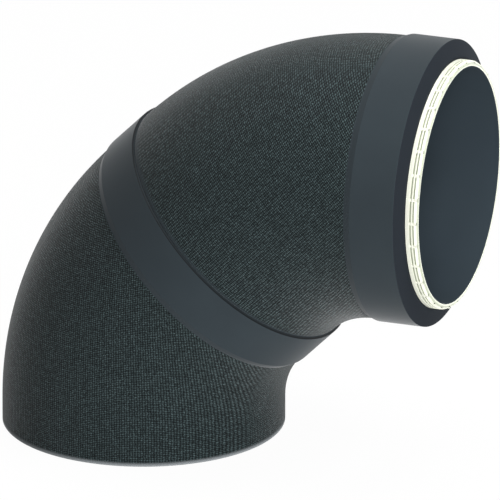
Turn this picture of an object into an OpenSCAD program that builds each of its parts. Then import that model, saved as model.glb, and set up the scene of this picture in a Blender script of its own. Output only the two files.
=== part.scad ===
// Insulated duct bend: two foam elbows, plugged into each other with a ribbed
// connector ring, and a second ring in the outlet for the next length of duct.
// Sizes are in millimetres. The origin is the centre of the inlet end, +Z runs up
// the inlet's axis, and the duct turns towards +X.

/* [Duct] */
// Inside diameter of the duct, as measured in a plug
duct_d = 160; // [125:1:200]
// Thickness of the foam wall
wall_t = 16; // [14:0.5:25]

/* [Bend] */
// Radius of the duct's centre line round the bend
bend_r = 153.6; // [130:0.1:260]
// Angle that each elbow turns through
elbow_angle = 45; // [25:1:45]
// Straight length of the lower elbow below its turn
inlet_l = 16.6; // [14:0.1:80]
// How much narrower the bore of a turn is than the bore of its plug
core_step = 0.2; // [0.1:0.1:1]

/* [Cuff] */
// Length of an elbow's smooth cuff beyond the turn
cuff_l = 35.1; // [20:0.1:80]
// How far the cuff stands proud of the textured wall
cuff_rise = 1.6; // [0.5:0.1:4]
// Length of the ramp that leads up to the cuff
ramp_l = 4.5; // [1:0.1:10]
// How far before the end of the turn the ramp starts
ramp_lead = 0.5; // [0.2:0.1:2]

/* [Plug and socket] */
// Height of the cone on the end of the plug
cone_h = 4.35; // [3:0.05:8]
// Gap that shows between a cuff and the elbow plugged on to it
joint_gap = 1; // [0.6:0.1:1.6]
// Gap between the plug's cone and the socket's cone, along their axis
cone_gap = 0.15; // [0.05:0.05:0.4]
// Bevel round the outside of a socket's rim
rim_bevel = 0.4; // [0.1:0.05:0.5]

/* [Connector ring] */
// Thickness of the foam skin that lines the ring
skin_t = 0.6; // [0.4:0.1:2]
// Gap between a ring and its seat in the foam, inside and outside
ring_gap = 0.15; // [0.05:0.05:0.3]
// Thickness of the ring over its fins and ribs
ring_t = 3.75; // [3:0.05:6]
// Depth of the grooves below the tops of the fins
groove_depth = 1.6; // [0.5:0.1:2]
// Width of the collar round the middle of the ring
collar_w = 5.2; // [3:0.1:8]
// Width of each groove
groove_w = 1.2; // [0.6:0.1:2]
// Width of the fin between two grooves
fin_w = 0.9; // [0.6:0.1:2]
// Length of the tapered land next to the rim
land_l = 1.4; // [1:0.1:3]
// How far the tapered land falls along its length
land_fall = 0.8; // [0.3:0.1:1.2]
// Length of the plain rim at each end of the ring
rim_l = 0.9; // [0.5:0.1:3]
// How far the rim lies below the tops of the fins
rim_depth = 2.1; // [1:0.1:2.4]
// Number of ribs along the ring
rib_count = 32; // [12:1:48]
// Width of each rib
rib_w = 2; // [1:0.1:4]
// How far the ribs lie below the tops of the fins
rib_drop = 0.2; // [0.1:0.05:0.5]

/* [Hidden] */
$fn = 128;
foam_colour = "#3d444b";
ring_colour = "#f3f2e4";

// Radii from the duct's axis outwards
bore_r = duct_d / 2;
turn_r = bore_r - core_step;
wall_r = bore_r + wall_t;
cuff_r = wall_r + cuff_rise;
skin_r = bore_r + skin_t;
ring_in_r = skin_r + ring_gap;
ring_out_r = ring_in_r + ring_t;
seat_r = ring_out_r + ring_gap;

// Stations along the ring, measured from the middle of its collar
fin_at = collar_w / 2 + groove_w;
land_at = fin_at + fin_w + groove_w;
rim_at = land_at + land_l;
ring_reach = rim_at + rim_l;

// Stations along a plug, measured from the end of the elbow's turn
cone_at = cuff_l + cone_h;
plug_l = cone_at + ring_reach;

// Depth of a socket, and the part of it that its cone takes up
socket_l = cone_h + ring_reach - joint_gap;
socket_cone_l = cone_h + cone_gap - joint_gap;
cone_slope = (cuff_r - seat_r) / cone_h;
rim_in_r = seat_r + cone_slope * socket_cone_l;

// How deep a plug's or a rib's foot is rooted, and how far cuts overrun
root = 0.3;
clear = 1;

// The far end of a turn that starts after a straight length
module after_turn(straight) {
    translate([bend_r * (1 - cos(elbow_angle)), 0, straight + bend_r * sin(elbow_angle)])
        rotate([0, elbow_angle, 0])
            children();
}

// The inlet end of the upper elbow, one joint gap above the lower one's cuff
module after_joint() {
    after_turn(inlet_l)
        translate([0, 0, cuff_l + joint_gap])
            children();
}

// Straight foam tube below the turn
module inlet_tube(straight) {
    rotate_extrude()
        translate([turn_r, 0])
            square([wall_r - turn_r, straight]);
}

// Curved foam tube
module turned_tube() {
    translate([bend_r, 0, 0])
        rotate([90, 0, 180])
            rotate_extrude(angle = elbow_angle)
                translate([bend_r, 0])
                    difference() {
                        circle(wall_r);
                        circle(turn_r);
                    }
}

// Cuff, cone, the groove that holds the ring, and the skin that lines it
module plug() {
    foot_at = -ramp_lead - root * ramp_l / cuff_rise;
    rotate_extrude()
        polygon([
            [bore_r, foot_at],
            [wall_r - root, foot_at],
            [cuff_r, ramp_l - ramp_lead],
            [cuff_r, cuff_l],
            [seat_r, cone_at],
            [seat_r, cone_at - ring_reach],
            [skin_r, cone_at - ring_reach],
            [skin_r, plug_l],
            [bore_r, plug_l]
        ]);
}

// The hollow that takes the plug of the part below
module socket() {
    rotate_extrude()
        polygon([
            [0, -clear],
            [rim_in_r + cone_slope * clear, -clear],
            [seat_r, socket_cone_l],
            [seat_r, socket_l],
            [0, socket_l]
        ]);
    rotate_extrude()
        polygon([
            [wall_r - rim_bevel - clear, -clear],
            [wall_r + clear, -clear],
            [wall_r + clear, rim_bevel + clear]
        ]);
}

// One foam elbow: socket, turn and plug, moulded in one piece
module elbow(straight) {
    difference() {
        union() {
            if (straight > 0)
                inlet_tube(straight);
            translate([0, 0, straight])
                turned_tube();
            after_turn(straight)
                plug();
        }
        socket();
    }
}

// Half of the ring's section, from the middle of the collar to the rim
function half_section() = [
    [ring_out_r, collar_w / 2],
    [ring_out_r - groove_depth, collar_w / 2],
    [ring_out_r - groove_depth, fin_at],
    [ring_out_r, fin_at],
    [ring_out_r, fin_at + fin_w],
    [ring_out_r - groove_depth, fin_at + fin_w],
    [ring_out_r - groove_depth, land_at],
    [ring_out_r, land_at],
    [ring_out_r - land_fall, rim_at],
    [ring_out_r - rim_depth, rim_at],
    [ring_out_r - rim_depth, ring_reach],
    [ring_in_r, ring_reach]
];

// Connector ring: fins round it, ribs along it, the same at both ends
module connector_ring() {
    half = half_section();
    last = len(half) - 1;
    mirrored = [for (i = [last:-1:0]) [half[i][0], -half[i][1]]];
    rib_foot = ring_out_r - groove_depth - root;
    rib_top = ring_out_r - rib_drop;
    rotate_extrude()
        polygon(concat(mirrored, half));
    for (i = [0:rib_count - 1])
        rotate([0, 0, i * 360 / rib_count])
            translate([rib_foot, -rib_w / 2, -rim_at])
                cube([rib_top - rib_foot, rib_w, 2 * rim_at]);
}

module lower_elbow() {
    color(foam_colour)
        elbow(inlet_l);
}

module upper_elbow() {
    color(foam_colour)
        after_joint()
            elbow(0);
}

module joint_ring() {
    color(ring_colour)
        after_turn(inlet_l)
            translate([0, 0, cone_at])
                connector_ring();
}

module outlet_ring() {
    color(ring_colour)
        after_joint()
            after_turn(0)
                translate([0, 0, cone_at])
                    connector_ring();
}

lower_elbow();
upper_elbow();
joint_ring();
outlet_ring();
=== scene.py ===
"""Insulated duct bend as it looks: two foam elbows and their connector rings.

Everything is in metres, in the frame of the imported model.
"""
import math

import bpy
from mathutils import Matrix, Vector


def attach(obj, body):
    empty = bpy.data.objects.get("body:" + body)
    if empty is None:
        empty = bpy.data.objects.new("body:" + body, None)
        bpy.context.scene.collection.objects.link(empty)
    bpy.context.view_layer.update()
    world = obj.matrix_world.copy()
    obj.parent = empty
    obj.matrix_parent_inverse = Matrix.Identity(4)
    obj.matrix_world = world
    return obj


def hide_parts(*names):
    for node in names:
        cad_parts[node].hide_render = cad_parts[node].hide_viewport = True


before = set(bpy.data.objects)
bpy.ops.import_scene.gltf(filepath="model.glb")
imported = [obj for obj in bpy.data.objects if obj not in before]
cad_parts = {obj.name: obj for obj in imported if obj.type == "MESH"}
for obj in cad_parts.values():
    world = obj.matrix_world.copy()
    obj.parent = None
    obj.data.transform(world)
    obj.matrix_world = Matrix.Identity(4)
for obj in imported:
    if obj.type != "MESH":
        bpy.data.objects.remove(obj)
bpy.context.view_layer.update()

# Studio. A pale floor carries the bend, under soft light from large lamps. The background
# is white, and the floor keeps the bend's shadow. From below the floor is clear, so that
# the inlet shows in views from there.
STUDIO_WHITE = "#ffffff"
SKY_COLOUR = "#f7f9fc"
SKY_STRENGTH = 0.03
FLOOR_COLOUR = "#e4e4e4"
FLOOR_REACH = 8.0
FLOOR_GLOW = 1.01
FLOOR_GLOW_SHARE = 0.96
BEND_MIDDLE = Vector((0.065, 0.0, 0.145))
LAMPS = (
    # name, place, size, power
    ("front_lamp", (1.36, -3.55, 1.51), 0.6, 42.0),
    ("top_lamp", (0.15, 0.4, 2.3), 1.2, 29.0),
    ("high_lamp", (1.6, 0.0, 2.0), 0.8, 27.0),
    ("low_lamp", (2.4, -1.6, 0.45), 0.8, 53.0),
    ("back_lamp", (0.2, 2.6, 0.5), 0.8, 7.0),
)


def linear(hex_colour):
    """A colour written as sRGB hex, as the linear RGBA that Blender wants."""
    channels = [int(hex_colour[i:i + 2], 16) / 255 for i in (1, 3, 5)]
    return tuple(
        c / 12.92 if c <= 0.04045 else ((c + 0.055) / 1.055) ** 2.4 for c in channels
    ) + (1.0,)


def add_node(tree, kind, inputs=None, **settings):
    """Adds a node with its settings. An input takes a value, a socket or a node's first output."""
    node = tree.nodes.new(kind)
    for name, value in settings.items():
        setattr(node, name, value)
    for name, value in (inputs or {}).items():
        if isinstance(value, bpy.types.Node):
            value = value.outputs[0]
        if isinstance(value, bpy.types.NodeSocket):
            tree.links.new(value, node.inputs[name])
        else:
            node.inputs[name].default_value = value
    return node


def seen_share(tree):
    """1 for a ray that shows the backdrop, straight, in gloss or through glass, and else 0."""
    ray = add_node(tree, "ShaderNodeLightPath").outputs
    gloss = add_node(tree, "ShaderNodeMath", {0: ray["Is Camera Ray"], 1: ray["Is Glossy Ray"]},
                     operation="MAXIMUM")
    return add_node(tree, "ShaderNodeMath", {0: gloss, 1: ray["Is Transmission Ray"]},
                    operation="MAXIMUM")


world = bpy.data.worlds.new("white_studio")
world.use_nodes = True
sky = world.node_tree
sky.nodes.clear()
ambient = add_node(sky, "ShaderNodeBackground",
                   {"Color": linear(SKY_COLOUR), "Strength": SKY_STRENGTH})
backdrop = add_node(sky, "ShaderNodeBackground", {"Color": linear(STUDIO_WHITE), "Strength": 1.0})
sky_light = add_node(sky, "ShaderNodeMixShader", {0: seen_share(sky), 1: ambient, 2: backdrop})
add_node(sky, "ShaderNodeOutputWorld", {"Surface": sky_light})
bpy.context.scene.world = world


def new_material(name):
    """An empty node material and its tree."""
    material = bpy.data.materials.new(name)
    material.use_nodes = True
    material.node_tree.nodes.clear()
    return material, material.node_tree


floor_paper, tree = new_material("matt_white_paper")
glow_share = add_node(tree, "ShaderNodeMath", {0: seen_share(tree), 1: FLOOR_GLOW_SHARE},
                      operation="MULTIPLY")
paper = add_node(tree, "ShaderNodeBsdfDiffuse", {"Color": linear(FLOOR_COLOUR)})
glow = add_node(tree, "ShaderNodeEmission", {"Color": linear(STUDIO_WHITE), "Strength": FLOOR_GLOW})
lit_paper = add_node(tree, "ShaderNodeMixShader", {0: glow_share, 1: paper, 2: glow})
below = add_node(tree, "ShaderNodeNewGeometry").outputs["Backfacing"]
clear = add_node(tree, "ShaderNodeBsdfTransparent")
one_sided = add_node(tree, "ShaderNodeMixShader", {0: below, 1: lit_paper, 2: clear})
add_node(tree, "ShaderNodeOutputMaterial", {"Surface": one_sided})

floor_mesh = bpy.data.meshes.new("studio_floor")
floor_mesh.from_pydata(
    [(FLOOR_REACH * x, FLOOR_REACH * y, 0) for x, y in ((-1, -1), (1, -1), (1, 1), (-1, 1))],
    [], [(0, 1, 2, 3)])
floor_mesh.materials.append(floor_paper)
floor = bpy.data.objects.new("studio_floor", floor_mesh)
bpy.context.scene.collection.objects.link(floor)

for lamp_name, place, size, power in LAMPS:
    lamp = bpy.data.lights.new(lamp_name, "AREA")
    lamp.size = size
    lamp.energy = power
    lamp.color = linear(STUDIO_WHITE)[:3]
    lamp_object = bpy.data.objects.new(lamp_name, lamp)
    lamp_object.location = place
    to_bend = BEND_MIDDLE - Vector(place)
    lamp_object.rotation_euler = to_bend.to_track_quat("-Z", "Y").to_euler()
    lamp_object.visible_camera = False
    bpy.context.scene.collection.objects.link(lamp_object)

# Camera. The photograph is close to orthographic, so the camera stands 15 m off
# with a long lens. It looks down by 20 degrees from a little to the outlet's side.
CAMERA_AZIMUTH = math.radians(20.208)
CAMERA_ELEVATION = math.radians(19.905)
CAMERA_DISTANCE = 15.0
VIEW_WIDTH = 0.337911
AIM_RIGHT = 0.072028
AIM_UP = 0.113746
SENSOR_WIDTH = 36.0

camera_right = Vector((math.cos(CAMERA_AZIMUTH), math.sin(CAMERA_AZIMUTH), 0.0))
camera_back = Vector((
    math.sin(CAMERA_AZIMUTH) * math.cos(CAMERA_ELEVATION),
    -math.cos(CAMERA_AZIMUTH) * math.cos(CAMERA_ELEVATION),
    math.sin(CAMERA_ELEVATION),
))
camera_up = camera_back.cross(camera_right)
camera = bpy.data.cameras.new("camera")
camera.sensor_width = SENSOR_WIDTH
camera.lens = SENSOR_WIDTH * CAMERA_DISTANCE / VIEW_WIDTH
camera.clip_start = 1.0
camera.clip_end = 4 * CAMERA_DISTANCE
camera_object = bpy.data.objects.new("camera", camera)
aim = camera_right * AIM_RIGHT + camera_up * AIM_UP
aim += camera_back * (BEND_MIDDLE - aim).dot(camera_back)
pose = Matrix((camera_right, camera_up, camera_back)).transposed().to_4x4()
pose.translation = aim + camera_back * CAMERA_DISTANCE
camera_object.matrix_world = pose
bpy.context.scene.collection.objects.link(camera_object)
bpy.context.scene.camera = camera_object
bpy.context.scene.view_settings.view_transform = "Standard"

# Foam elbows. Each is moulded in one piece from dark grey expanded polyethylene:
# a grained outside, a smooth cuff with a cone and a ring's seat at its upper end, and
# a socket at its lower end. The upper one is pushed on to the lower one's plug.

# The sizes of the pieces are in millimetres, and MM turns them to metres
MM = 0.001
BORE_R = 80.0
TURN_R = 79.8
WALL_R = 96.0
CUFF_R = 97.6
SKIN_R = 80.6
SEAT_R = 84.65
BEND_R = 153.6
TURN_ANGLE = math.radians(45)
TURN_L = BEND_R * TURN_ANGLE
INLET_L = 16.6
CUFF_L = 35.1
RAMP_L = 4.5
RAMP_LEAD = 0.5
CONE_AT = 39.45
RING_REACH = 8.2
PLUG_L = 47.65
SOCKET_L = 11.55
SOCKET_CONE_L = 3.5
RIM_IN_R = 95.07
RIM_BEVEL = 0.4
JOINT_GAP = 1.0
BORE_TAPER_L = 14.0
ELBOW_SIDES = 224

# Where the colours change along the wall: the plain edge above the rim, the length over
# which the grain fades in, the painted shade in the joint's gap, and the painted highlight
# on the lower rim's edge.
PLAIN_EDGE_L = 0.7
GRAIN_FADE_L = 0.3
JOINT_SHADE_L = 0.7
RIM_HIGHLIGHT_L = 0.75
INSIDE_DEPTH = 5.0
MARGIN = 0.1

# How an outline is rounded: points round each fillet, and how far beyond it a flat starts
FILLET_POINTS = 4
FLAT_START = 0.15

# How a swept outline is closed: points this near are welded. Where more of a face than
# this share is inner foam, it takes that material.
WELD_L = 0.01
INNER_SHARE = 0.6


def rounded_outline(corners, longest=2.5):
    """Points round a closed outline, from corners of (radius, station, fillet, kind).

    Each corner is rounded by its fillet, and has a point a little beyond it on both
    sides, so that the flats stay flat. The kind of an edge is that of its first corner.
    """
    points = []
    for i, (r, s, fillet, kind) in enumerate(corners):
        if fillet == 0:
            points.append((r, s, kind))
            continue
        here = Vector((r, s))
        kind_before = corners[i - 1][3]
        to_before = (Vector(corners[i - 1][:2]) - here).normalized()
        to_after = (Vector(corners[(i + 1) % len(corners)][:2]) - here).normalized()
        half = to_before.angle(to_after) / 2
        reach = fillet / math.tan(half)
        centre = here + (to_before + to_after).normalized() * fillet / math.sin(half)
        first = here + to_before * reach
        last = here + to_after * reach
        points.append((*(first + to_before * FLAT_START), kind_before))
        start = (first - centre).normalized()
        end = (last - centre).normalized()
        for k in range(FILLET_POINTS):
            swung = start.slerp(end, k / (FILLET_POINTS - 1))
            points.append((*(centre + swung * fillet),
                           kind_before if 2 * k < FILLET_POINTS else kind))
        points.append((*(last + to_after * FLAT_START), kind))
    spread = []
    for i, (r, s, kind) in enumerate(points):
        r_next, s_next = points[(i + 1) % len(points)][:2]
        steps = max(1, math.ceil(math.hypot(r_next - r, s_next - s) / longest))
        for k in range(steps):
            spread.append((r + (r_next - r) * k / steps, s + (s_next - s) * k / steps, kind))
    spread.append(spread[0])
    return spread


def elbow_corners(straight):
    """Corners of an elbow's wall, from the socket's rim up the outside and down the bore."""
    end = straight + TURN_L
    return [
        # radius, station, fillet, kind
        (RIM_IN_R, 0.0, 0.15, "socket_end"),
        (WALL_R - RIM_BEVEL, 0.0, 0.15, "outside"),
        (WALL_R, RIM_BEVEL, 0.3, "outside"),
        (WALL_R, end - RAMP_LEAD, 1.2, "plug"),
        (CUFF_R, end + RAMP_L - RAMP_LEAD, 1.5, "plug"),
        (CUFF_R, end + CUFF_L, 0.35, "plug"),
        (SEAT_R, end + CONE_AT, 0.0, "plug"),
        (SEAT_R, end + CONE_AT - RING_REACH, 0.0, "plug"),
        (SKIN_R, end + CONE_AT - RING_REACH, 0.0, "plug"),
        (SKIN_R, end + PLUG_L, 0.2, "plug"),
        (BORE_R, end + PLUG_L, 0.2, "plug"),
        (BORE_R, end + BORE_TAPER_L, 0.0, "plug"),
        (TURN_R, end, 0.0, "bore"),
        (TURN_R, min(SOCKET_L, straight), 0.0, "bore"),
        (SEAT_R, SOCKET_L, 0.0, "socket"),
        (SEAT_R, SOCKET_CONE_L, 0.0, "socket"),
    ]


def elbow_profile(name, straight):
    """The wall's outline as a chain of vertices, marked with what the sweep has to know.

    A mark is 0 or 1, apart from the grain, which fades in and out at its two ends.
    """
    outline = rounded_outline(elbow_corners(straight))
    mesh = bpy.data.meshes.new(name)
    mesh.from_pydata([(r * MM, 0, s * MM) for r, s, kind in outline], [], [])
    end = straight + TURN_L
    marks = {mark: [] for mark in ("bore", "socket", "grain", "inner", "cone", "seam", "cut")}
    for r, s, kind in outline:
        in_socket = kind in ("socket", "socket_end") or (r == SEAT_R and s == SOCKET_L)
        on_cone = r < CUFF_R - MARGIN and s > end + CUFF_L
        in_joint = straight > 0 and on_cone and s < end + CUFF_L + JOINT_SHADE_L
        inside = r < WALL_R - INSIDE_DEPTH or in_socket
        grained = kind == "outside" and s < end
        fade = min(s - PLAIN_EDGE_L, end - RAMP_LEAD - s) / GRAIN_FADE_L
        at_rim = kind in ("outside", "socket_end") and s < RIM_HIGHLIGHT_L
        marks["bore"].append(r == TURN_R)
        marks["socket"].append(in_socket and s <= SOCKET_L)
        marks["grain"].append(max(0.0, min(1.0, fade)) if grained else 0.0)
        marks["inner"].append(inside or (on_cone and not in_joint))
        # Painted shade on the cone's face, which is turned from the light
        marks["cone"].append(on_cone and r > SEAT_R - MARGIN)
        # Painted shade: the dark line where the joint's gap lies in shade
        marks["seam"].append(in_joint or (kind == "socket_end" and straight == 0))
        # Painted highlight: the pale line on the lower elbow's bottom rim edge
        marks["cut"].append(at_rim and straight > 0)
    for mark, values in marks.items():
        column = mesh.attributes.new(mark, "FLOAT", "POINT")
        column.data.foreach_set("value", [float(value) for value in values])
    return mesh


def new_geometry_tree(name, result, inputs):
    """A Geometry Nodes tree with named inputs and one result, and its inputs' sockets."""
    tree = bpy.data.node_groups.new(name, "GeometryNodeTree")
    for socket_name, kind in inputs.items():
        tree.interface.new_socket(name=socket_name, in_out="INPUT",
                                  socket_type="NodeSocket" + kind)
    tree.interface.new_socket(name=result, in_out="OUTPUT", socket_type="NodeSocketGeometry")
    return tree, add_node(tree, "NodeGroupInput").outputs


def outline_grid(tree, given):
    """A grid with a column of vertices for each side, and a row for each point of the outline.

    Gives the grid, the row of a vertex, how far round it stands from 0 to 1, and the place
    of its point on the outline.
    """
    count = add_node(tree, "GeometryNodeAttributeDomainSize", {"Geometry": given["Outline"]})
    rows = count.outputs["Point Count"]
    columns = add_node(tree, "ShaderNodeMath", {0: given["Sides"], 1: 1.0}, operation="ADD")
    grid = add_node(tree, "GeometryNodeMeshGrid",
                    {"Size X": 1.0, "Size Y": 1.0, "Vertices X": columns, "Vertices Y": rows})
    index = add_node(tree, "GeometryNodeInputIndex")
    row = add_node(tree, "ShaderNodeMath", {0: index, 1: rows}, operation="MODULO")
    middle = add_node(tree, "ShaderNodeMath", {0: index, 1: 0.5}, operation="ADD")
    column = add_node(tree, "ShaderNodeMath", {0: middle, 1: rows}, operation="DIVIDE")
    column = add_node(tree, "ShaderNodeMath", {0: column}, operation="FLOOR")
    way_round = add_node(tree, "ShaderNodeMath", {0: column, 1: given["Sides"]},
                         operation="DIVIDE")
    position = add_node(tree, "GeometryNodeInputPosition")
    spot = add_node(tree, "GeometryNodeSampleIndex",
                    {"Geometry": given["Outline"], "Value": position, "Index": row},
                    data_type="FLOAT_VECTOR", domain="POINT")
    return grid, row, way_round, spot


def outline_mark(tree, given, row, mark):
    """What the point of the outline in a vertex's row is marked with."""
    stored = add_node(tree, "GeometryNodeInputNamedAttribute", {"Name": mark}, data_type="FLOAT")
    return add_node(tree, "GeometryNodeSampleIndex",
                    {"Geometry": given["Outline"], "Value": stored, "Index": row},
                    data_type="FLOAT", domain="POINT")


def sweep_tree():
    """Geometry Nodes that sweep a wall's outline round the duct and along its bent axis.

    Stations beyond the straight length follow the turn, and those beyond the turn are
    straight again. The socket stays straight, also where it reaches into the turn, and the
    bore starts from its floor.
    """
    tree, given = new_geometry_tree("elbow_sweep", "Elbow", {
        "Outline": "Geometry", "Sides": "Int", "Straight length": "Float",
        "Bend radius": "Float", "Turn angle": "Float", "Socket depth": "Float",
        "Place": "Vector", "Tilt": "Vector", "Foam": "Material", "Inner foam": "Material",
    })
    grid, row, way_round, spot = outline_grid(tree, given)
    place = add_node(tree, "ShaderNodeSeparateXYZ", {0: spot}).outputs
    values = {
        "way round": way_round, "radius": place["X"], "station": place["Z"],
        "straight": given["Straight length"], "bend radius": given["Bend radius"],
        "whole angle": given["Turn angle"], "socket depth": given["Socket depth"],
        "in bore": outline_mark(tree, given, row, "bore"),
        "in socket": outline_mark(tree, given, row, "socket"),
    }
    for name, operation, *terms in (
        # Round the duct: how far a vertex stands to the side, and from the bend's centre
        ("phi", "MULTIPLY", "way round", math.tau),
        ("phi", "ADD", "phi", math.pi / 2),
        ("sin phi", "SINE", "phi"),
        ("flank", "ABSOLUTE", "sin phi"),
        ("side", "MULTIPLY", "radius", "sin phi"),
        ("inward", "COSINE", "phi"),
        ("inward", "MULTIPLY", "radius", "inward"),
        ("arm", "SUBTRACT", "bend radius", "inward"),
        # Along the axis: the share of the turn that a station has behind it
        ("turn length", "MULTIPLY", "bend radius", "whole angle"),
        ("beyond", "SUBTRACT", "station", "straight"),
        ("share", "DIVIDE", "beyond", "turn length"),
        ("share", "MAXIMUM", "share", 0.0),
        ("share", "MINIMUM", "share", 1.0),
        ("share left", "SUBTRACT", 1.0, "share"),
        # The angle at the socket's floor, which the bore starts from
        ("floor step", "SUBTRACT", "socket depth", "straight"),
        ("floor step", "MAXIMUM", "floor step", 0.0),
        ("floor angle", "DIVIDE", "floor step", "arm"),
        ("floor angle", "ARCSINE", "floor angle"),
        ("floor angle", "MULTIPLY", "floor angle", "in bore"),
        ("floor angle", "MULTIPLY", "floor angle", "share left"),
        # The angle of a vertex, and the straight length that is left to go
        ("out of socket", "SUBTRACT", 1.0, "in socket"),
        ("angle", "MULTIPLY", "whole angle", "share"),
        ("angle", "ADD", "floor angle", "angle"),
        ("angle", "MULTIPLY", "angle", "out of socket"),
        ("turned", "MULTIPLY", "turn length", "share"),
        ("turned", "MULTIPLY", "turned", "out of socket"),
        ("rest", "SUBTRACT", "beyond", "turned"),
        ("sine", "SINE", "angle"),
        ("cosine", "COSINE", "angle"),
        ("arm x", "MULTIPLY", "arm", "cosine"),
        ("rest x", "MULTIPLY", "rest", "sine"),
        ("x", "SUBTRACT", "bend radius", "arm x"),
        ("x", "ADD", "x", "rest x"),
        ("arm z", "MULTIPLY", "arm", "sine"),
        ("rest z", "MULTIPLY", "rest", "cosine"),
        ("z", "ADD", "straight", "arm z"),
        ("z", "ADD", "z", "rest z"),
    ):
        inputs = {i: values.get(term, term) for i, term in enumerate(terms)}
        values[name] = add_node(tree, "ShaderNodeMath", inputs, operation=operation)
    bent = add_node(tree, "ShaderNodeCombineXYZ",
                    {"X": values["x"], "Y": values["side"], "Z": values["z"]})
    shell = add_node(tree, "GeometryNodeSetPosition", {"Geometry": grid, "Position": bent})
    for mark in ("grain", "inner", "cone", "seam", "cut"):
        value = outline_mark(tree, given, row, mark)
        shell = add_node(tree, "GeometryNodeStoreNamedAttribute",
                         {"Geometry": shell, "Name": mark, "Value": value},
                         data_type="FLOAT", domain="POINT")
    here = add_node(tree, "GeometryNodeInputPosition")
    shell = add_node(tree, "GeometryNodeStoreNamedAttribute",
                     {"Geometry": shell, "Name": "foam_place", "Value": here},
                     data_type="FLOAT_VECTOR", domain="POINT")
    shell = add_node(tree, "GeometryNodeStoreNamedAttribute",
                     {"Geometry": shell, "Name": "flank", "Value": values["flank"]},
                     data_type="FLOAT", domain="POINT")
    shell = add_node(tree, "GeometryNodeMergeByDistance",
                     {"Geometry": shell, "Distance": WELD_L * MM})
    shell = add_node(tree, "GeometryNodeSetShadeSmooth", {"Geometry": shell})
    shell = add_node(tree, "GeometryNodeTransform",
                     {"Geometry": shell, "Translation": given["Place"],
                      "Rotation": given["Tilt"]})
    shell = add_node(tree, "GeometryNodeRealizeInstances", {"Geometry": shell})
    shell = add_node(tree, "GeometryNodeSetMaterial",
                     {"Geometry": shell, "Material": given["Foam"]})
    inner = add_node(tree, "GeometryNodeInputNamedAttribute", {"Name": "inner"},
                     data_type="FLOAT")
    all_inner = add_node(tree, "FunctionNodeCompare", {0: inner, 1: INNER_SHARE},
                         data_type="FLOAT", operation="GREATER_THAN")
    shell = add_node(tree, "GeometryNodeSetMaterial",
                     {"Geometry": shell, "Selection": all_inner,
                      "Material": given["Inner foam"]})
    add_node(tree, "NodeGroupOutput", {0: shell})
    return tree


def run_tree(name, mesh, tree, values):
    """Runs a Geometry Nodes tree on a mesh and gives the result as a plain mesh object."""
    carrier = bpy.data.objects.new(name + "_carrier", mesh)
    bpy.context.scene.collection.objects.link(carrier)
    modifier = carrier.modifiers.new(tree.name, "NODES")
    modifier.node_group = tree
    for item in tree.interface.items_tree:
        if item.item_type == "SOCKET" and item.in_out == "INPUT" and item.name in values:
            modifier[item.identifier] = values[item.name]
    bpy.context.view_layer.update()
    evaluated = carrier.evaluated_get(bpy.context.evaluated_depsgraph_get())
    result = bpy.data.meshes.new_from_object(evaluated)
    carrier.modifiers.remove(modifier)
    bpy.data.objects.remove(carrier)
    piece = bpy.data.objects.new(name, result)
    result.name = name
    bpy.context.scene.collection.objects.link(piece)
    return piece


# Expanded polyethylene foam, moulded against a grained tool: a grid of low bumps that
# touch in lines along the duct. Their colour is painted light and shade: pale on the tops
# and dark in the pits. The cuffs have the plain moulded skin, a little bluer. Both have a
# faint pale bloom. The real bumps are finer, and are drawn as coarse as the photograph
# shows them.
BUMP_ACROSS = 1.72
BUMP_ALONG = 1.3
BUMP_WAVES = (("X", 0.38), ("Y", 0.42))
WAVER_L = 2.2
WAVER_REACH = 1.1
LEAST_BUMP = 0.5
FLANK_START = 0.28
FLANK_END = 0.5
TONE_GAIN = 1.15
TONE_DROP = 0.07
# Painted shade in the pits and painted light on the bumps' tops
PIT_SHADE_COLOUR = "#020608"
BUMP_LIGHT_COLOUR = "#506163"
SKIN_COLOURS = ("#2d353a", "#333c41")
# Painted shade for the dark line in the joint's gap
JOINT_SHADE_COLOUR = "#0b0e10"
# Painted highlight for the pale line on the lower rim's edge
RIM_HIGHLIGHT_COLOUR = "#9a9fa2"
GRAIN_BUMP_L = 0.6
SKIN_BUMP_L = 0.2
# Patches of about 33 mm and specks of about 1.1 mm, as a count for each metre
SKIN_PATCHES = 30.0
SKIN_SPECKS = 900.0


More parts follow.
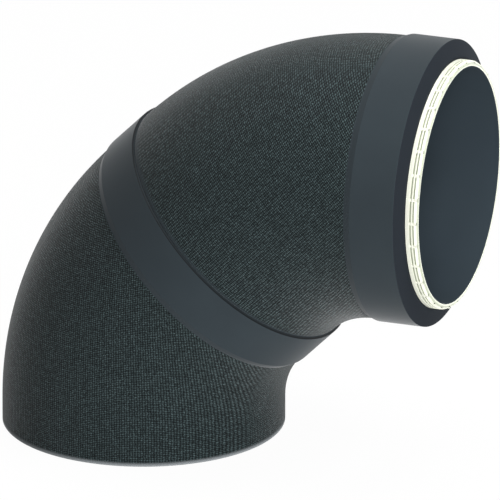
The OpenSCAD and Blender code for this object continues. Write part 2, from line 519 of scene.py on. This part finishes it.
def bump_height(tree, across, along):
    """Height of the tool's grain, from 0 to 1, where the two given lengths cross."""
    flat = add_node(tree, "ShaderNodeCombineXYZ", {0: across, 1: along})
    waver = add_node(tree, "ShaderNodeTexNoise",
                     {"Vector": flat, "Scale": 1 / (WAVER_L * MM), "Detail": 1.0},
                     noise_dimensions="2D")
    reach = (WAVER_REACH * MM, WAVER_REACH * MM, 0.0)
    wavering = add_node(tree, "ShaderNodeVectorMath",
                        {0: waver.outputs["Color"], 1: reach, 2: flat}, operation="MULTIPLY_ADD")
    grid = add_node(tree, "ShaderNodeVectorMath",
                    {0: wavering, 1: (BUMP_ACROSS * MM, BUMP_ALONG * MM, 1.0)},
                    operation="DIVIDE")
    cell = add_node(tree, "ShaderNodeSeparateXYZ", {0: grid})
    waves = []
    for axis, depth in BUMP_WAVES:
        phase = add_node(tree, "ShaderNodeMath", {0: cell.outputs[axis], 1: math.tau},
                         operation="MULTIPLY")
        wave = add_node(tree, "ShaderNodeMath", {0: phase}, operation="COSINE")
        waves.append(add_node(tree, "ShaderNodeMath", {0: wave, 1: depth, 2: 1 - depth},
                              operation="MULTIPLY_ADD"))
    bump = add_node(tree, "ShaderNodeMath", {0: waves[0], 1: waves[1]}, operation="MULTIPLY")
    centred = add_node(tree, "ShaderNodeVectorMath", {0: grid, 1: (0.5, 0.5, 0.0)},
                       operation="ADD")
    number = add_node(tree, "ShaderNodeVectorMath", {0: centred}, operation="FLOOR")
    chance = add_node(tree, "ShaderNodeTexWhiteNoise", {"Vector": number},
                      noise_dimensions="2D")
    strength = add_node(tree, "ShaderNodeMath",
                        {0: chance.outputs["Value"], 1: 1 - LEAST_BUMP, 2: LEAST_BUMP},
                        operation="MULTIPLY_ADD")
    return add_node(tree, "ShaderNodeMath", {0: bump, 1: strength}, operation="MULTIPLY")


foam, tree = new_material("moulded_polyethylene_foam")
marks = {mark: add_node(tree, "ShaderNodeAttribute", attribute_name=mark).outputs["Fac"]
         for mark in ("grain", "flank", "seam", "cut")}
foam_place = add_node(tree, "ShaderNodeAttribute", attribute_name="foam_place")
spot = add_node(tree, "ShaderNodeSeparateXYZ", {0: foam_place.outputs["Vector"]}).outputs
on_flank = add_node(tree, "ShaderNodeMapRange",
                    {"Value": marks["flank"], "From Min": FLANK_START, "From Max": FLANK_END},
                    interpolation_type="SMOOTHSTEP")
from_side = bump_height(tree, spot["X"], spot["Z"])
from_front = bump_height(tree, spot["Y"], spot["Z"])
height = add_node(tree, "ShaderNodeMix", {0: on_flank, 2: from_front, 3: from_side},
                  data_type="FLOAT")
relief = add_node(tree, "ShaderNodeMath", {0: height, 1: marks["grain"]}, operation="MULTIPLY")
# Painted light and shade: the colour follows the bumps' height, dark in the pits, pale on top
bump_light_and_shade = add_node(tree, "ShaderNodeMath", {0: height, 1: TONE_GAIN, 2: -TONE_DROP},
                operation="MULTIPLY_ADD")
place = add_node(tree, "ShaderNodeTexCoord").outputs["Object"]
mottle = add_node(tree, "ShaderNodeTexNoise",
                  {"Vector": place, "Scale": SKIN_PATCHES, "Detail": 3.0})
skin = add_node(tree, "ShaderNodeTexNoise",
                {"Vector": place, "Scale": SKIN_SPECKS, "Detail": 2.0})
smooth_colour = add_node(tree, "ShaderNodeMix",
                         {0: mottle, 6: linear(SKIN_COLOURS[0]), 7: linear(SKIN_COLOURS[1])},
                         data_type="RGBA").outputs[2]
grain_light_and_shade_colour = add_node(tree, "ShaderNodeMix",
                        {0: bump_light_and_shade, 6: linear(PIT_SHADE_COLOUR), 7: linear(BUMP_LIGHT_COLOUR)},
                        data_type="RGBA").outputs[2]
colour = add_node(tree, "ShaderNodeMix", {0: marks["grain"], 6: smooth_colour, 7: grain_light_and_shade_colour},
                  data_type="RGBA").outputs[2]
# The joint's painted shade, and the painted highlight on the lower rim's edge
for mark, line_colour in (("seam", JOINT_SHADE_COLOUR), ("cut", RIM_HIGHLIGHT_COLOUR)):
    colour = add_node(tree, "ShaderNodeMix", {0: marks[mark], 6: colour, 7: linear(line_colour)},
                      data_type="RGBA").outputs[2]
fine = add_node(tree, "ShaderNodeBump",
                {"Height": skin, "Strength": 0.12, "Distance": SKIN_BUMP_L * MM})
ridged = add_node(tree, "ShaderNodeBump",
                  {"Height": relief, "Strength": 0.6, "Distance": GRAIN_BUMP_L * MM,
                   "Normal": fine})
body = add_node(tree, "ShaderNodeBsdfPrincipled",
                {"Base Color": colour, "Roughness": 0.8, "IOR": 1.5,
                 "Specular IOR Level": 0.12, "Sheen Roughness": 0.4, "Sheen Weight": 0.28,
                 "Normal": ridged})
add_node(tree, "ShaderNodeOutputMaterial", {"Surface": body})

# The same foam where it was moulded against the polished core and the ring's seat: the
# bore, the cone and the socket are smooth and have no bloom. Their colour is paler than the
# skin, painted light in the shaded bore, and the cone is darker, painted shade on a face
# turned from the light.
CORE_LIT_COLOURS = ("#343e44", "#38424a")
CONE_SHADE_COLOUR = "#1e2329"
# Patches of about 42 mm and specks of about 1.4 mm, as a count for each metre
CORE_PATCHES = 24.0
CORE_SPECKS = 700.0

inner_foam, tree = new_material("core_moulded_polyethylene_foam")
# Where the cone's painted shade goes
on_cone = add_node(tree, "ShaderNodeAttribute", attribute_name="cone").outputs["Fac"]
place = add_node(tree, "ShaderNodeTexCoord").outputs["Object"]
mottle = add_node(tree, "ShaderNodeTexNoise",
                  {"Vector": place, "Scale": CORE_PATCHES, "Detail": 2.0})
skin = add_node(tree, "ShaderNodeTexNoise",
                {"Vector": place, "Scale": CORE_SPECKS, "Detail": 2.0})
# Random patches, paler than the skin as painted light in the bore
core_colour = add_node(tree, "ShaderNodeMix",
                       {0: mottle, 6: linear(CORE_LIT_COLOURS[0]), 7: linear(CORE_LIT_COLOURS[1])},
                       data_type="RGBA").outputs[2]
core_colour = add_node(tree, "ShaderNodeMix",
                       {0: on_cone, 6: core_colour, 7: linear(CONE_SHADE_COLOUR)},
                       data_type="RGBA").outputs[2]
dimple = add_node(tree, "ShaderNodeBump",
                  {"Height": skin, "Strength": 0.1, "Distance": SKIN_BUMP_L * MM})
body = add_node(tree, "ShaderNodeBsdfPrincipled",
                {"Base Color": core_colour, "Roughness": 0.85, "IOR": 1.5,
                 "Specular IOR Level": 0.1, "Normal": dimple})
add_node(tree, "ShaderNodeOutputMaterial", {"Surface": body})


def turn_end(straight):
    """The far end of the turn of an elbow that has the given straight length, in metres."""
    return Vector((BEND_R * (1 - math.cos(TURN_ANGLE)), 0,
                   straight + BEND_R * math.sin(TURN_ANGLE))) * MM


upper_tilt = Matrix.Rotation(TURN_ANGLE, 4, "Y")
lower_end = turn_end(INLET_L)
upper_place = lower_end + upper_tilt @ Vector((0, 0, (CUFF_L + JOINT_GAP) * MM))
elbow_sweep = sweep_tree()
for elbow_name, straight, elbow_place, elbow_tilt in (
    ("lower_elbow", INLET_L, (0.0, 0.0, 0.0), 0.0),
    ("upper_elbow", 0.0, tuple(upper_place), TURN_ANGLE),
):
    profile = elbow_profile(elbow_name + "_outline", straight)
    elbow = run_tree(elbow_name + "_foam", profile, elbow_sweep, {
        "Sides": ELBOW_SIDES, "Straight length": straight * MM, "Bend radius": BEND_R * MM,
        "Turn angle": TURN_ANGLE, "Socket depth": SOCKET_L * MM,
        "Place": elbow_place, "Tilt": (0.0, elbow_tilt, 0.0),
        "Foam": foam, "Inner foam": inner_foam,
    })
    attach(elbow, "root")
    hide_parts(elbow_name)

# Connector rings. Each is moulded in cream polypropylene, with fins round it and ribs
# along it, and is pushed halfway into the groove in an elbow's plug. One is hidden in
# the joint between the elbows, and the other stands out of the outlet.
RING_IN_R = 80.75
RING_OUT_R = 84.5
GROOVE_DEPTH = 1.6
COLLAR_W = 5.2
GROOVE_W = 1.2
FIN_W = 0.9
LAND_L = 1.4
LAND_FALL = 0.8
RIM_DEPTH = 2.1
FIN_FILLET = 0.12
RIM_FILLET = 0.25
RIB_COUNT = 32
RIB_W = 2.0
RIB_DROP = 0.2
RIB_ROOT = 0.3
RIB_FILLET = 0.25
RING_SIDES = 256
RING_COLOUR = "#f1f3e3"
# Painted shade for the grooves
GROOVE_SHADE_COLOUR = "#bec4b0"
# A groove's darker colour is painted shade. It starts just below the land and is full this
# much deeper, and the bore and the edges beside it stay plain
GROOVE_SHADE_L = 0.6
PLAIN_BORE_L = 0.5

fin_at = COLLAR_W / 2 + GROOVE_W
land_at = fin_at + FIN_W + GROOVE_W
rim_at = land_at + LAND_L
groove_r = RING_OUT_R - GROOVE_DEPTH
rim_r = RING_OUT_R - RIM_DEPTH
half_ring = [
    # radius, station from the middle of the collar, fillet
    (RING_OUT_R, COLLAR_W / 2, FIN_FILLET),
    (groove_r, COLLAR_W / 2, 0.0),
    (groove_r, fin_at, 0.0),
    (RING_OUT_R, fin_at, FIN_FILLET),
    (RING_OUT_R, fin_at + FIN_W, FIN_FILLET),
    (groove_r, fin_at + FIN_W, 0.0),
    (groove_r, land_at, 0.0),
    (RING_OUT_R, land_at, FIN_FILLET),
    (RING_OUT_R - LAND_FALL, rim_at, FIN_FILLET),
    (rim_r, rim_at, 0.0),
    (rim_r, RING_REACH, RIM_FILLET),
    (RING_IN_R, RING_REACH, RIM_FILLET),
]
ring_corners = [(r, -s, fillet, "ring") for r, s, fillet in reversed(half_ring)]
ring_corners += [(r, s, fillet, "ring") for r, s, fillet in half_ring]
ring_outline = rounded_outline(ring_corners, longest=6.0)
ring_profile = bpy.data.meshes.new("ring_outline")
ring_profile.from_pydata([(r * MM, 0, s * MM) for r, s, kind in ring_outline], [], [])
shade_r = RING_OUT_R - LAND_FALL - MARGIN
# Where the grooves' painted shade goes
groove_shade_marks = []
for r, s, kind in ring_outline:
    shade = max(0.0, min(1.0, (shade_r - r) / GROOVE_SHADE_L))
    groove_shade_marks.append(shade if r > RING_IN_R + PLAIN_BORE_L else 0.0)
groove_shade_column = ring_profile.attributes.new("groove", "FLOAT", "POINT")
groove_shade_column.data.foreach_set("value", groove_shade_marks)

rib_top = RING_OUT_R - RIB_DROP
half_rib = [(groove_r - RIB_ROOT, RIB_W / 2)]
for swing in (math.radians(angle) for angle in (0, 30, 60, 90)):
    half_rib.append((rib_top - RIB_FILLET + RIB_FILLET * math.sin(swing),
                     RIB_W / 2 - RIB_FILLET + RIB_FILLET * math.cos(swing)))
rib_section = [(r, -y) for r, y in half_rib] + half_rib[::-1]
rib_corners = [(r * MM, y * MM, z * MM) for z in (-rim_at, rim_at) for r, y in rib_section]
around = len(rib_section)
rib_faces = [tuple(range(around)), tuple(range(2 * around - 1, around - 1, -1))]
for i in range(around):
    after = (i + 1) % around
    rib_faces.append((i, i + around, after + around, after))
rib_mesh = bpy.data.meshes.new("ring_rib")
rib_mesh.from_pydata(rib_corners, [], rib_faces)
rib = bpy.data.objects.new("ring_rib", rib_mesh)
bpy.context.scene.collection.objects.link(rib)


def ring_tree():
    """Geometry Nodes that spin the ring's outline round its axis and set the ribs on it."""
    tree, given = new_geometry_tree("ring_spin", "Ring", {
        "Outline": "Geometry", "Rib": "Object", "Sides": "Int", "Ribs": "Int",
        "Place": "Vector", "Tilt": "Vector", "Plastic": "Material",
    })
    grid, row, way_round, spot = outline_grid(tree, given)
    phi = add_node(tree, "ShaderNodeMath", {0: way_round, 1: math.tau}, operation="MULTIPLY")
    spun = add_node(tree, "ShaderNodeVectorRotate",
                    {"Vector": spot, "Axis": (0.0, 0.0, 1.0), "Angle": phi},
                    rotation_type="AXIS_ANGLE")
    hoop = add_node(tree, "GeometryNodeSetPosition", {"Geometry": grid, "Position": spun})
    groove = outline_mark(tree, given, row, "groove")
    hoop = add_node(tree, "GeometryNodeStoreNamedAttribute",
                    {"Geometry": hoop, "Name": "groove", "Value": groove},
                    data_type="FLOAT", domain="POINT")
    hoop = add_node(tree, "GeometryNodeMergeByDistance",
                    {"Geometry": hoop, "Distance": WELD_L * MM})
    hoop = add_node(tree, "GeometryNodeSetShadeSmooth", {"Geometry": hoop})
    index = add_node(tree, "GeometryNodeInputIndex")
    rib_share = add_node(tree, "ShaderNodeMath", {0: index, 1: given["Ribs"]},
                         operation="DIVIDE")
    rib_turn = add_node(tree, "ShaderNodeMath", {0: rib_share, 1: math.tau},
                        operation="MULTIPLY")
    rib_rotation = add_node(tree, "ShaderNodeCombineXYZ", {"Z": rib_turn})
    rib_points = add_node(tree, "GeometryNodePoints", {"Count": given["Ribs"]})
    rib_shape = add_node(tree, "GeometryNodeObjectInfo", {"Object": given["Rib"]})
    ribs = add_node(tree, "GeometryNodeInstanceOnPoints",
                    {"Points": rib_points, "Instance": rib_shape.outputs["Geometry"],
                     "Rotation": rib_rotation})
    joined = add_node(tree, "GeometryNodeJoinGeometry")
    tree.links.new(ribs.outputs[0], joined.inputs[0])
    tree.links.new(hoop.outputs[0], joined.inputs[0])
    placed = add_node(tree, "GeometryNodeTransform",
                      {"Geometry": joined, "Translation": given["Place"],
                       "Rotation": given["Tilt"]})
    whole = add_node(tree, "GeometryNodeRealizeInstances", {"Geometry": placed})
    whole = add_node(tree, "GeometryNodeSetMaterial",
                     {"Geometry": whole, "Material": given["Plastic"]})
    add_node(tree, "NodeGroupOutput", {0: whole})
    return tree


# Moulded polypropylene, cream: a soft satin skin with a very slight unevenness, in specks
# of about 4 mm, and a darker colour down in the grooves, which is painted shade.
CREAM_SPECKS = 260.0

cream, tree = new_material("moulded_cream_polypropylene")
# Where the grooves' painted shade goes
groove = add_node(tree, "ShaderNodeAttribute", attribute_name="groove").outputs["Fac"]
place = add_node(tree, "ShaderNodeTexCoord").outputs["Object"]
skin = add_node(tree, "ShaderNodeTexNoise",
                {"Vector": place, "Scale": CREAM_SPECKS, "Detail": 2.0})
satin = add_node(tree, "ShaderNodeMapRange", {"Value": skin, "To Min": 0.38, "To Max": 0.5})
dimple = add_node(tree, "ShaderNodeBump",
                  {"Height": skin, "Strength": 0.08, "Distance": SKIN_BUMP_L * MM})
ring_colour = add_node(tree, "ShaderNodeMix",
                       {0: groove, 6: linear(RING_COLOUR), 7: linear(GROOVE_SHADE_COLOUR)},
                       data_type="RGBA").outputs[2]
body = add_node(tree, "ShaderNodeBsdfPrincipled",
                {"Base Color": ring_colour, "Roughness": satin, "IOR": 1.49,
                 "Normal": dimple})
add_node(tree, "ShaderNodeOutputMaterial", {"Surface": body})

joint_place = lower_end + upper_tilt @ Vector((0, 0, CONE_AT * MM))
upper_end = upper_place + upper_tilt @ turn_end(0.0)
outlet_tilt = Matrix.Rotation(2 * TURN_ANGLE, 4, "Y")
outlet_place = upper_end + outlet_tilt @ Vector((0, 0, CONE_AT * MM))
ring_spin = ring_tree()
for ring_name, ring_place, ring_tilt in (
    ("joint_ring", joint_place, TURN_ANGLE),
    ("outlet_ring", outlet_place, 2 * TURN_ANGLE),
):
    ring = run_tree(ring_name + "_plastic", ring_profile.copy(), ring_spin, {
        "Rib": rib, "Sides": RING_SIDES, "Ribs": RIB_COUNT, "Place": tuple(ring_place),
        "Tilt": (0.0, ring_tilt, 0.0), "Plastic": cream,
    })
    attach(ring, "root")
    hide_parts(ring_name)
bpy.data.objects.remove(rib)
